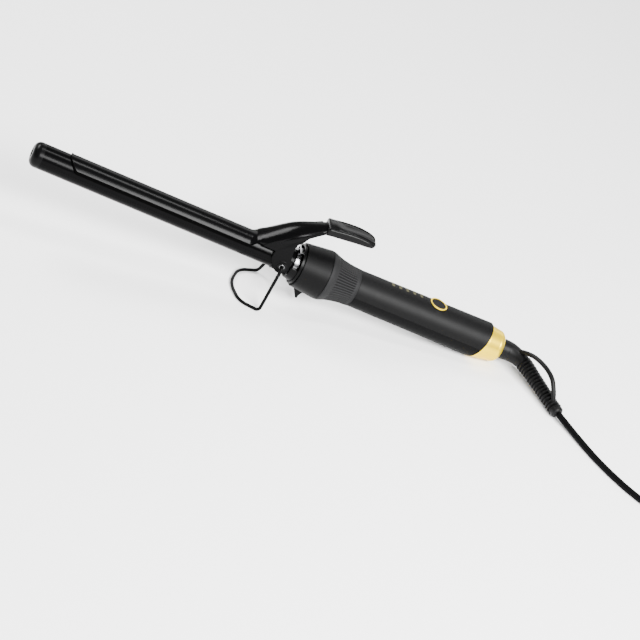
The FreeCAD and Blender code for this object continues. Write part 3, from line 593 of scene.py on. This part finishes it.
def make_spring():
    """The flat spring under the lever, cut across into short lengths."""
    node = NODES["clamp_spring"]
    mesh = node.data.copy()
    mesh.transform(node.matrix_world)
    sheet = bmesh.new()
    sheet.from_mesh(mesh)
    foot, tip = placed(IRON, SPRING_FOOT), placed(IRON, SPRING_TIP)
    for i in range(SPRING_CUTS):
        geometry = list(sheet.verts) + list(sheet.edges) + list(sheet.faces)
        spot = foot.lerp(tip, i / SPRING_CUTS)
        bmesh.ops.bisect_plane(sheet, geom=geometry, plane_co=spot, plane_no=tip - foot)
    sheet.to_mesh(mesh)
    sheet.free()
    spring = bpy.data.objects.new("lever_spring", mesh)
    COLLECTION.objects.link(spring)
    mesh.materials.clear()
    mesh.materials.append(ZINC)
    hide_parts("clamp_spring")
    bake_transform(spring)


SKIRT_START = 164.0
SKIRT_END = 188.0
SKIRT_PLACES = 9
SKIRT_RADII = (10.46, 9.75)
SKIRT_TURN = 18.5
SKIRT_STEPS = 27


def skirt_arc(radius):
    """From one lower edge over the barrel to the other."""
    step = (180.0 - 2 * SKIRT_TURN) / (SKIRT_STEPS - 1)
    return [arc_point(0.0, 0.0, radius, SKIRT_TURN + step * i) for i in range(SKIRT_STEPS)]


def make_skirt():
    """The tongue's lower part, which runs on along the barrel below the lever to the pivot's cheeks."""
    span = SKIRT_END - SKIRT_START
    places = [SKIRT_START + span * i / (SKIRT_PLACES - 1) for i in range(SKIRT_PLACES)]
    section = skirt_arc(SKIRT_RADII[0]) + skirt_arc(SKIRT_RADII[1])[::-1]
    vertices = [placed(IRON, (along, y, z)) for along in places for y, z in section]
    around = 2 * SKIRT_STEPS
    faces = grid_faces(SKIRT_PLACES, around) + sheet_ends(SKIRT_PLACES, SKIRT_STEPS)
    skirt = mesh_object("clamp_skirt", vertices, faces, CLAMP_GLOSS, 50.0)
    # The skirt's lower edges get the same painted gap shadow.
    paint_hem_shadow(skirt, SKIRT_PLACES - 1, around, (0, SKIRT_STEPS - 2))
    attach(skirt, "clamp")


# The web that joins the skirt's end to a cheek, as points of (across, height).
SHOULDER = ((9.6, 3.5), (11.2, 3.5), (11.2, 13.5), (3.6, 13.5), (4.2, 9.3), (6.3, 8.0), (8.3, 5.9))
SHOULDER_SPAN = (187.1, 187.7)


def make_shoulders():
    """The webs that close the step between the skirt and the cheeks."""
    for side, name in ((-1, "shoulder_near"), (1, "shoulder_far")):
        vertices = [placed(IRON, (x, side * y, z)) for x in SHOULDER_SPAN for y, z in SHOULDER]
        web = mesh_object(name, vertices, prism_faces(len(SHOULDER)), BRACKET_BLACK, 35.0)
        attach(web, "clamp")


CHEEK_FACES = (10.5, 11.3)
CHEEK_EDGE = 0.18
CHEEK_LEAN_START = 20.0
CHEEK_LEAN = 0.235
CHEEK_LEAN_MOST = 4.2
PIVOT = (197.3, -0.9)
# Sections of the rings round the pivot, as points of (radius, distance across).
# The sink: a thin flat ring standing a little proud of the cheek, whose darker black paints the shade of a
# recess.
SINK_SHADE_SECTION = ((4.6, 11.34), (4.45, 11.46), (2.7, 11.46), (2.7, 11.34))
RIVET_LIP_RADIUS = 1.75
RIVET_LIP_ACROSS = 12.2
RIVET_LIP_HALF = (0.38, 0.3)
RIVET_LIP_POINTS = 12


def make_bracket():
    """The flat cheeks under the lever that hold it on the pivot, each with a dark ring round its rivet:
    painted shade of the recess round the rivet, on a thin flat ring.
    """
    for side, name in ((-1, "bracket_near"), (1, "bracket_far")):
        across = sorted(side * y for y in CHEEK_FACES)
        outline = BRACKET_SIDE[::-side]
        vertices = [placed(IRON, (x, y, z)) for y in across for x, z in outline]
        cheek = mesh_object(name, vertices, prism_faces(len(outline)), BRACKET_BLACK, 35.0)
        lean_cheek(cheek, side)
        round_edges(cheek, CHEEK_EDGE, 2)
        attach(cheek, "clamp")
        ring = pivot_ring("%s_sink" % name, SINK_SHADE_SECTION, side, 48, CAP_BLACK, 35.0)
        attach(ring, "clamp")


def lean_cheek(cheek, side):
    """The cheeks lean in towards the thumb rest, as the lever narrows."""
    back = IRON.inverted()
    for vertex in cheek.data.vertices:
        local = back @ vertex.co
        above = max(local.z / MM - CHEEK_LEAN_START, 0.0)
        local.y -= side * min(above * CHEEK_LEAN, CHEEK_LEAN_MOST) * MM
        vertex.co = IRON @ local


def pivot_ring(name, section, side, steps, finish, smooth_angle=40.0):
    """A ring round the pivot on one side, with a closed section."""
    vertices = []
    for radius, across in section:
        for j in range(steps):
            angle = 2 * math.pi * j / steps
            along = PIVOT[0] + radius * math.cos(angle)
            height = PIVOT[1] + radius * math.sin(angle)
            vertices.append(placed(IRON, (along, side * across, height)))
    faces = grid_faces(len(section), steps, closed_rows=True)
    return mesh_object(name, vertices, faces, finish, smooth_angle)


# Sections of the thumb rest: along, lower edge, ridge along each side, half width.
THUMB = (
    (214.4, 35.9, 41.0, 7.5),
    (214.7, 35.5, 41.7, 8.0),
    (215.3, 35.3, 42.0, 8.3),
    (216.4, 35.4, 42.0, 8.4),
    (218.0, 35.7, 42.2, 8.3),
    (224.0, 36.5, 43.2, 8.35),
    (231.0, 37.4, 44.1, 8.4),
    (238.0, 38.3, 44.5, 8.4),
    (244.0, 38.8, 44.2, 8.3),
    (248.0, 39.1, 43.6, 8.0),
    (250.2, 39.3, 43.2, 7.2),
    (251.6, 39.6, 42.9, 5.9),
    (252.4, 40.1, 42.4, 4.3),
    (252.7, 40.8, 41.8, 2.6),
)
# The dished facet deepens between these two places.
FACET_START = 219.0
FACET_FULL = 229.0
FACET_GROOVE = 0.85
FACET_DISH = 0.35
PAD_DOME = 1.3
# The groove inside each ridge: parts of the way out from the middle, and the drop at each.
GROOVE_SHAPE = ((0.93, 0.35), (0.86, 0.95), (0.79, 1.0), (0.72, 0.6), (0.65, 0.15), (0.56, -0.1))
DISH_SHAPE = (0.45, 0.34, 0.23, 0.12, 0.0)
PAD_STEP = 0.7
# The largest radii of the pad's lower edges and of its ridges, and how far the first lie inside the second.
UNDER_RADIUS = 1.5
RIDGE_RADIUS = 1.7
UNDER_INSET = 0.35


def pad_outline(along, low, ridge, half):
    """Half of the thumb rest's section, from the middle of its underside round to the middle of its top."""
    facet = min(max((along - FACET_START) / (FACET_FULL - FACET_START), 0.0), 1.0)
    facet = facet * facet * (3 - 2 * facet)
    span = min(half * 0.2, (ridge - low) * 0.3)
    under = min(UNDER_RADIUS, span * 1.1)
    over = min(RIDGE_RADIUS, span)
    points = [(0.0, low), (half * 0.5, low)]
    points += [arc_point(half - UNDER_INSET - under, low + under, under, -90 + 18 * i) for i in range(6)]
    points += [arc_point(half - over, ridge - over, over, 15 * i) for i in range(7)]
    edge = half - over
    groove = FACET_GROOVE * facet
    dome = PAD_DOME * (1 - facet)
    for part, drop in GROOVE_SHAPE:
        points.append((edge * part, ridge - groove * drop + dome * (1 - part**2)))
    rim = GROOVE_SHAPE[-1][0]
    for part in DISH_SHAPE:
        dish = FACET_DISH * facet * (1 - (part / rim) ** 2)
        points.append((edge * part, ridge + 0.05 * facet - dish + dome * (1 - part**2)))
    return points


def make_thumb_rest():
    """A moulded pad: a socket round the lever's end, then a dished facet between two ridges."""
    vertices = []
    rows = list(THUMB[:5])
    for before, after in zip(THUMB[4:], THUMB[5:]):
        count = max(2, int((after[0] - before[0]) / PAD_STEP))
        k = THUMB.index(before)
        spots = (THUMB[k - 1], before, after, THUMB[min(k + 2, len(THUMB) - 1)])
        rows += [between(spots, i / count) for i in range(1, count + 1)]
    for row in rows:
        half_loop = pad_outline(*row)
        loop = half_loop + [(-y, z) for y, z in half_loop[-2:0:-1]]
        vertices += [placed(IRON, (row[0], y, z)) for y, z in loop]
    faces = grid_faces(len(rows), len(loop)) + end_caps(len(rows), len(loop))
    pad = mesh_object("thumb_pad", vertices, faces, REST_PLASTIC, 45.0)
    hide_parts("thumb_rest")
    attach(pad, "clamp")


def between(spots, u):
    """The row at u from the second of four rows to the third, without overshoot."""
    earlier, before, after, later = spots
    span = after[0] - before[0]
    result = [before[0] + span * u]
    for k in range(1, len(before)):
        rise_in = slope(earlier, before, after, k) * span
        rise_out = slope(before, after, later, k) * span
        square = 3 * (after[k] - before[k]) - 2 * rise_in - rise_out
        cubic = rise_in + rise_out - 2 * (after[k] - before[k])
        result.append(before[k] + rise_in * u + square * u * u + cubic * u**3)
    return result


def make_rivet_lips():
    """The bright rolled lip of each hollow rivet."""
    section = []
    for i in range(RIVET_LIP_POINTS):
        turn = 2 * math.pi * i / RIVET_LIP_POINTS
        radius = RIVET_LIP_RADIUS + RIVET_LIP_HALF[0] * math.cos(turn)
        section.append((radius, RIVET_LIP_ACROSS + RIVET_LIP_HALF[1] * math.sin(turn)))
    for side, name in ((-1, "rivet_lip_near"), (1, "rivet_lip_far")):
        lip = pivot_ring(name, section, side, 32, LIP_STEEL)
        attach(lip, "iron")


# ---------------------------------------------------------------- neck

# A black sheet round the neck's underside, standing in for the shade on the lower part of the steel band.
NECK_SHADE_PROFILE = ((203.6, 11.3), (203.6, 12.6), (206.0, 13.4), (209.6, 14.2), (218.0, 14.3), (218.0, 11.3))
NECK_SHADE_HALF_TURN = math.radians(98.0)
NECK_SHADE_STEPS = 60


def make_neck_shade():
    """A dark trough under the neck, inside the collar's mouth. Its black over the lower part of the bright
    steel band is painted shade.
    """
    vertices = []
    for i in range(NECK_SHADE_STEPS + 1):
        angle = math.pi - NECK_SHADE_HALF_TURN + 2 * NECK_SHADE_HALF_TURN * i / NECK_SHADE_STEPS
        for along, radius in NECK_SHADE_PROFILE:
            vertices.append(placed(IRON, (along, radius * math.sin(angle), radius * math.cos(angle))))
    count = len(NECK_SHADE_PROFILE)
    faces = grid_faces(NECK_SHADE_STEPS + 1, count) + end_caps(NECK_SHADE_STEPS + 1, count)
    shade_trough = mesh_object("neck_shade_trough", vertices, faces, CAP_BLACK)
    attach(shade_trough, "iron")


# ---------------------------------------------------------------- grip

# The sleeve's outline as (along, radius). Its first three points are the seam with the collar, and its last
# two the seam with the handle.
GRIP_PROFILE = (
    (230.9, 17.7),
    (231.5, 17.9),
    (231.5, 18.95),
    (234.0, 18.75),
    (238.0, 17.35),
    (242.0, 16.27),
    (246.0, 15.54),
    (250.0, 14.98),
    (253.8, 14.66),
    (256.5, 14.5),
    (256.5, 13.9),
    (257.05, 13.9),
)
NOTCH_RINGS = (255.1, 255.7)
RIB_COUNT = 48
RIB_START = 236.6
RIB_END = 254.2
RIB_DEPTH = 0.65
RIB_RUN_IN = 1.5
RIB_RUN_OUT = 1.0
RIB_SHARPNESS = 2.2
POINTS_PER_RIB = 8
SEAM_PLACES = (231.49, 256.45)
FLUTE_PLACES = (RIB_START + 0.9, RIB_END - 0.5)
# Cosines that set how wide a notch and the painted shade in the bottom of a flute are.
NOTCH_COSINE = 0.3
FLUTE_COSINE = -0.8
GRIP_LIP = (231.6, 19.1)
GRIP_ROWS = 40


def make_grip():
    """The soft sleeve, flared to the collar and fluted along its waist."""
    around = RIB_COUNT * POINTS_PER_RIB
    body = [GRIP_LIP] + list(GRIP_PROFILE[3:10])
    rows = list(GRIP_PROFILE[:3])
    rows += [tuple(blend_points(body, i / GRIP_ROWS)) for i in range(1, GRIP_ROWS + 1)]
    rows += list(GRIP_PROFILE[10:])
    vertices = []
    for along, radius in rows:
        start = min(max((along - RIB_START) / RIB_RUN_IN, 0.0), 1.0)
        end = min(max((RIB_END - along) / RIB_RUN_OUT, 0.0), 1.0)
        depth = RIB_DEPTH * start * end
        for j in range(around):
            angle = 2 * math.pi * j / around
            wave = 0.5 - 0.5 * math.cos(angle * RIB_COUNT)
            r = radius - depth * wave**RIB_SHARPNESS
            vertices.append(placed(IRON, (along, r * math.sin(angle), r * math.cos(angle))))
    grip = mesh_object("grip_skin", vertices, grid_faces(len(rows), around), GRIP_RUBBER, 60.0)
    paint_groove_shade(grip)
    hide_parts("grip_sleeve")
    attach(grip, "iron")


def paint_groove_shade(grip):
    """The seams, the row of notches and the bottoms of the flutes get a darker copy of the rubber: painted
    shade in the creases.
    """
    grip.data.materials.append(GROOVE_SHADE_RUBBER)
    back = IRON.inverted()
    for polygon in grip.data.polygons:
        spot = back @ polygon.center
        along = spot.x / MM
        angle = math.atan2(spot.y, spot.z)
        seam = not SEAM_PLACES[0] <= along <= SEAM_PLACES[1]
        notch = NOTCH_RINGS[0] < along < NOTCH_RINGS[1] and math.cos(2 * RIB_COUNT * angle) > NOTCH_COSINE
        flute = FLUTE_PLACES[0] < along < FLUTE_PLACES[1] and math.cos(RIB_COUNT * angle) < FLUTE_COSINE
        if seam or notch or flute:
            polygon.material_index = 1


# ---------------------------------------------------------------- cord boot

# The boot's middle line and its radius, on the table as the CAD has it.
BOOT = (
    (378.67, 0.0, 12.6, 8.0),
    (384.5, -0.2, 12.1, 7.8),
    (389.9, -1.3, 11.8, 7.3),
    (396.7, -6.3, 11.4, 6.3),
    (402.2, -14.2, 10.6, 5.6),
    (407.2, -23.3, 9.3, 5.2),
    (413.1, -34.3, 7.9, 4.9),
    (418.6, -44.6, 6.6, 4.6),
    (424.3, -55.0, 5.4, 4.5),
)
BOOT_RIBS = 16
BOOT_RIB_START = 0.325
BOOT_RIB_END = 0.94
BOOT_GAP_DEPTH = 0.69
BOOT_SLOT_DEPTH = 1.0
RIB_PROUD = 0.55
ROWS_PER_RIB = 22
BOOT_AROUND = 72
# The walls of a gap, as parts of half a rib's pitch: where they reach the top, and how much they take.
GAP_HALF = 0.6
GAP_WALL = 0.2
# The same for a slot's ends, as sines of the angle round the boot.
SLOT_HALF = 0.8
SLOT_WALL = 0.1
# The end by the cord: a collar that stands a little proud, with a chamfer.
BOOT_COLLAR_START = 0.93
BOOT_COLLAR_PROUD = 0.25
BOOT_CHAMFER_START = 0.985
BOOT_CHAMFER = 1.1


def boot_rib(t, angle):
    """How far the ribbed part stands off the plain boot. Each gap also has a deep slot on each side."""
    if not BOOT_RIB_START < t < BOOT_RIB_END:
        return 0.0
    position = (t - BOOT_RIB_START) / (BOOT_RIB_END - BOOT_RIB_START) * BOOT_RIBS
    across = abs(position - int(position) - 0.5) * 2
    gap = min(max((GAP_HALF - across) / GAP_WALL, 0.0), 1.0)
    slot = min(max((SLOT_HALF - abs(math.sin(angle))) / SLOT_WALL, 0.0), 1.0)
    return RIB_PROUD - gap * (RIB_PROUD + BOOT_GAP_DEPTH + BOOT_SLOT_DEPTH * slot)


def make_boot():
    rows = BOOT_RIBS * ROWS_PER_RIB
    samples = resampled(BOOT, rows)
    points = [Vector(s[:3]) for s in samples]
    frames = frames_along(points, (0, 0, 1))

    def radius_at(i, angle):
        t = i / (rows - 1)
        radius = samples[i][3]
        if t > BOOT_COLLAR_START:
            radius += BOOT_COLLAR_PROUD
        if t > BOOT_CHAMFER_START:
            radius -= BOOT_CHAMFER * (t - BOOT_CHAMFER_START) / (1 - BOOT_CHAMFER_START)
        return radius + boot_rib(t, angle)

    boot = swept("boot_sleeve", frames, radius_at, BOOT_AROUND, BOOT_RUBBER, smooth_angle=38.0)
    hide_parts("cord_boot")
    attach(boot, "cord_swivel")


# The middle line of the strap over the boot.
LOOP = (
    (392.6, -2.6, 14.6),
    (395.9, -6.4, 18.2),
    (399.2, -11.9, 21.5),
    (403.0, -18.4, 24.0),
    (407.7, -26.6, 25.0),
    (411.7, -33.3, 24.1),
    (414.7, -38.5, 21.7),
    (416.8, -42.2, 17.5),
    (418.6, -45.2, 12.9),
    (419.9, -47.4, 8.0),
)
LOOP_RADIUS = 2.0
LOOP_FLAT = 0.25
LOOP_ROWS = 60
LOOP_AROUND = 20


def make_loop():
    """The strap that the iron hangs by, a little flat on two sides."""
    frames = frames_along([Vector(s) for s in resampled(LOOP, LOOP_ROWS)], (0, 0, 1))

    def radius_at(_, angle):
        return LOOP_RADIUS - LOOP_FLAT * abs(math.cos(angle))

    loop = swept("hang_loop", frames, radius_at, LOOP_AROUND, BOOT_RUBBER)
    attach(loop, "cord_swivel")


# ---------------------------------------------------------------- cord

CORD_DIAMETER = 5.0
CORD_ROUTE = (
    (424.65, -55.5, 5.3),
    (436.5, -72.5, 2.8),
    (455.0, -103.0, 2.5),
    (482.0, -132.5, 2.5),
    (516.0, -150.5, 2.6),
)
COIL_CENTRE = (543.0, -125.5)
COIL_MID = 29.0
COIL_STEP = 5.3
COIL_LAYER = 5.1
COIL_TURNS = 8.32
COIL_START = math.radians(-100)
POINTS_PER_TURN = 24
# The part of a turn in which the cord shifts to its next place, and the same for the last turn, which climbs.
TURN_SHIFT = 0.16
LAST_TURN = 8
LAST_SHIFT = 0.3
LAST_CLIMB = 3.2
# Where each turn lies in the coil: (steps outwards from the middle, layer).
COIL_SLOTS = ((1, 0), (0, 0), (-1, 0), (-1, 1), (0, 1), (1, 1), (1, 2), (0, 2), (-1, 2), (1.0, 3))
CORD_TAIL = (
    (571.0, -116.0, 15.5),
    (566.5, -98.0, 9.0),
    (563.5, -79.0, 6.7),
    (563.0, -57.0, 6.8),
)
PLUG_FRONT = (563.0, -57.0)
PLUG_TURN = math.radians(91.0)


def coil_points():
    points = []
    count = int(COIL_TURNS * POINTS_PER_TURN)
    for i in range(count + 1):
        turns = i / POINTS_PER_TURN
        k = int(turns)
        part = turns - k
        if k == LAST_TURN:
            u = min(part / LAST_SHIFT, 1.0)
        else:
            u = min(max((part - 1 + TURN_SHIFT) / TURN_SHIFT, 0.0), 1.0)
        ease = u * u * (3 - 2 * u)
        climb = min(1.0, LAST_CLIMB * ease) if k == LAST_TURN else ease
        here, following = COIL_SLOTS[k], COIL_SLOTS[k + 1]
        outwards = here[0] + (following[0] - here[0]) * ease
        layer = here[1] + (following[1] - here[1]) * climb
        radius = COIL_MID + COIL_STEP * outwards
        angle = COIL_START + 2 * math.pi * turns
        x = COIL_CENTRE[0] + radius * math.cos(angle)
        y = COIL_CENTRE[1] + radius * math.sin(angle)
        points.append((x, y, CORD_DIAMETER / 2 + COIL_LAYER * layer))
    return points


def nurbs_cord(name, points, bevel_mm):
    curve = bpy.data.curves.new(name, "CURVE")
    curve.dimensions = "3D"
    spline = curve.splines.new("NURBS")
    spline.points.add(len(points) - 1)
    for spot, point in zip(spline.points, points):
        spot.co = (*placed(TABLE, point), 1)
    spline.order_u = 3
    spline.use_endpoint_u = True
    spline.resolution_u = 6
    curve.bevel_depth = bevel_mm * MM
    curve.bevel_resolution = 6
    curve.use_fill_caps = True
    obj = bpy.data.objects.new(name, curve)
    COLLECTION.objects.link(obj)
    return obj


def mesh_of(obj):
    bpy.context.view_layer.update()
    return bpy.data.meshes.new_from_object(obj.evaluated_get(bpy.context.evaluated_depsgraph_get()))


def make_cord():
    """The cord from the boot to the plug, wound up where the camera doesn't see it."""
    route = list(CORD_ROUTE) + coil_points() + list(CORD_TAIL)
    guide = nurbs_cord("cord_guide", route, 0.0)
    path = [tuple(v.co) for v in mesh_of(guide).vertices]
    bpy.data.objects.remove(guide)
    thick = nurbs_cord("cord_thick", route, CORD_DIAMETER / 2)
    mesh = mesh_of(thick)
    bpy.data.objects.remove(thick)
    cord = bpy.data.objects.new("cord", mesh)
    COLLECTION.objects.link(cord)
    mesh.materials.clear()
    mesh.materials.append(CORD_RUBBER)
    for polygon in mesh.polygons:
        polygon.use_smooth = True
    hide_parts("power_cord", "cord_coil", "cord_tail")
    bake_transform(cord)
    plug = make_plug()


PLUG_OUTLINE = (
    (0.0, 3.4),
    (5.0, 3.6),
    (9.0, 5.0),
    (12.0, 8.6),
    (15.0, 13.2),
    (19.0, 15.4),
    (33.0, 16.8),
    (36.0, 15.6),
)
PLUG_BASE = 0.02
PLUG_HEIGHT = 13.6
PLUG_EDGE = 2.6


def make_plug():
    """A flat two-pin plug lying on the floor."""
    place = TABLE @ Matrix.Translation(Vector((*PLUG_FRONT, 0)) * MM) @ Matrix.Rotation(PLUG_TURN, 4, "Z")
    outline = list(PLUG_OUTLINE) + [(x, -y) for x, y in reversed(PLUG_OUTLINE)]
    vertices = [placed(place, (x, y, z)) for z in (PLUG_BASE, PLUG_HEIGHT) for x, y in outline]
    plug = mesh_object("plug_shell", vertices, prism_faces(len(outline)), PLUG_PLASTIC, 30.0)
    round_edges(plug, PLUG_EDGE, 5, 50.0)
    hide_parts("plug_body")
    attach(plug, "iron")
    return plug


# ---------------------------------------------------------------- floor and light


FLOOR_REACH_M = 3.0
# Soft boxes: name, left end and right end of the middle line in metres, height in metres, power in watts.
LIGHTS = (
    ("front_box", (0.06, -1.4, 0.8), (1.0, -0.78, 1.2), 0.5, 116.0),
    ("top_strip", (0.15, 0.12, 1.8), (0.62, 0.12, 1.8), 0.32, 16.0),
    ("back_panel", (-0.2, 1.75, 0.95), (1.5, 1.2, 0.95), 0.9, 16.0),
    ("left_box", (-1.29, 0.55, 1.2), (-0.77, 1.17, 1.2), 0.55, 42.0),
)
WORLD_STRENGTH = 0.3


def make_floor():
    side = FLOOR_REACH_M
    corners = [(-side, -side, 0), (side, -side, 0), (side, side, 0), (-side, side, 0)]
    floor = mesh_object("floor", corners, [(0, 1, 2, 3)], FLOOR_WHITE)


def make_light(name, left, right, height, power):
    """A soft box whose long middle line runs from left to right and which faces the iron."""
    left, right = Vector(left), Vector(right)
    data = bpy.data.lights.new(name, "AREA")
    data.shape = "RECTANGLE"
    data.size = (right - left).length
    data.size_y = height
    data.energy = power
    lamp = bpy.data.objects.new(name, data)
    middle = (left + right) / 2
    along = (right - left).normalized()
    away = (middle - along * middle.dot(along)).normalized()
    facing = Matrix((along, away.cross(along), away)).transposed().to_4x4()
    lamp.matrix_world = Matrix.Translation(middle) @ facing
    COLLECTION.objects.link(lamp)


def make_lights():
    world = bpy.data.worlds.new("world")
    bpy.context.scene.world = world
    world.use_nodes = True
    background = world.node_tree.nodes["Background"]
    background.inputs["Color"].default_value = (1.0, 1.0, 1.0, 1)
    background.inputs["Strength"].default_value = WORLD_STRENGTH
    for light in LIGHTS:
        make_light(*light)


make_camera()
make_cord()
dress_nodes()
make_clamp()
make_bracket()
make_skirt()
make_shoulders()
make_spring()
make_thumb_rest()
make_rivet_lips()
make_neck_shade()
make_grip()
make_boot()
make_loop()
make_floor()
make_lights()
